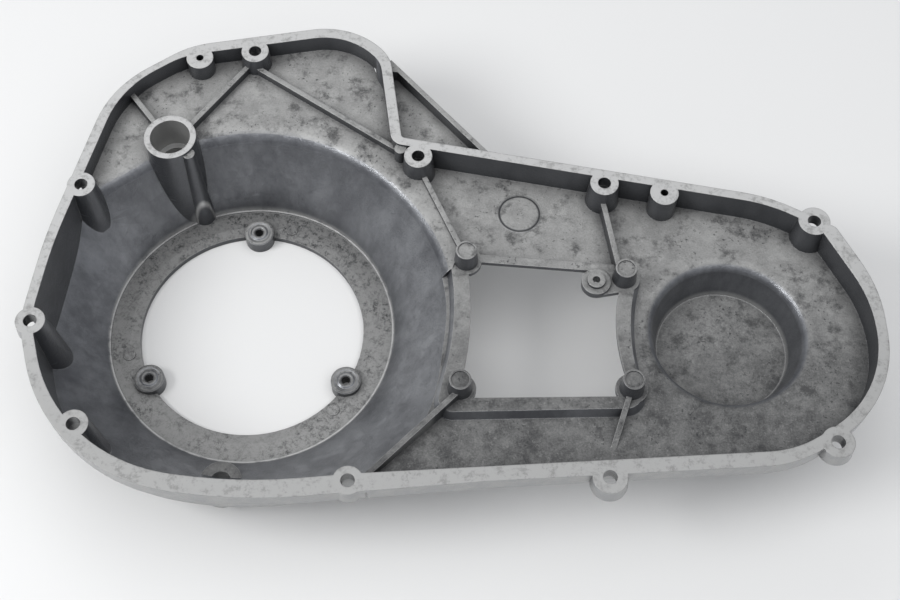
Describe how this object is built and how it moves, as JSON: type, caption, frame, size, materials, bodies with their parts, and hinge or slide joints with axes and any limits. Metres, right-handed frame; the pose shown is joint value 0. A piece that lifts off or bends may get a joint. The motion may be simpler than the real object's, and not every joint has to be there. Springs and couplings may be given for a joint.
{
  "type": "motorbike outer primary cover",
  "caption": "Die-cast cover for a motorbike's primary drive: deep clutch bowl with a round opening, inspection window in the neck and a dished compensator end.",
  "frame": {"origin": "on the clutch axis, in the outer face of the clutch opening's ring", "axes": "+X along the chain line to the compensator end, +Z to the engine side, out of the open rim"},
  "size_m": [0.5632, 0.361, 0.091],
  "materials": {
    "cast_aluminium": "as cast, with a machined rim"
  },
  "bodies": {
    "root": {"outer_primary_cover": "cast_aluminium"}
  },
  "joints": []
}
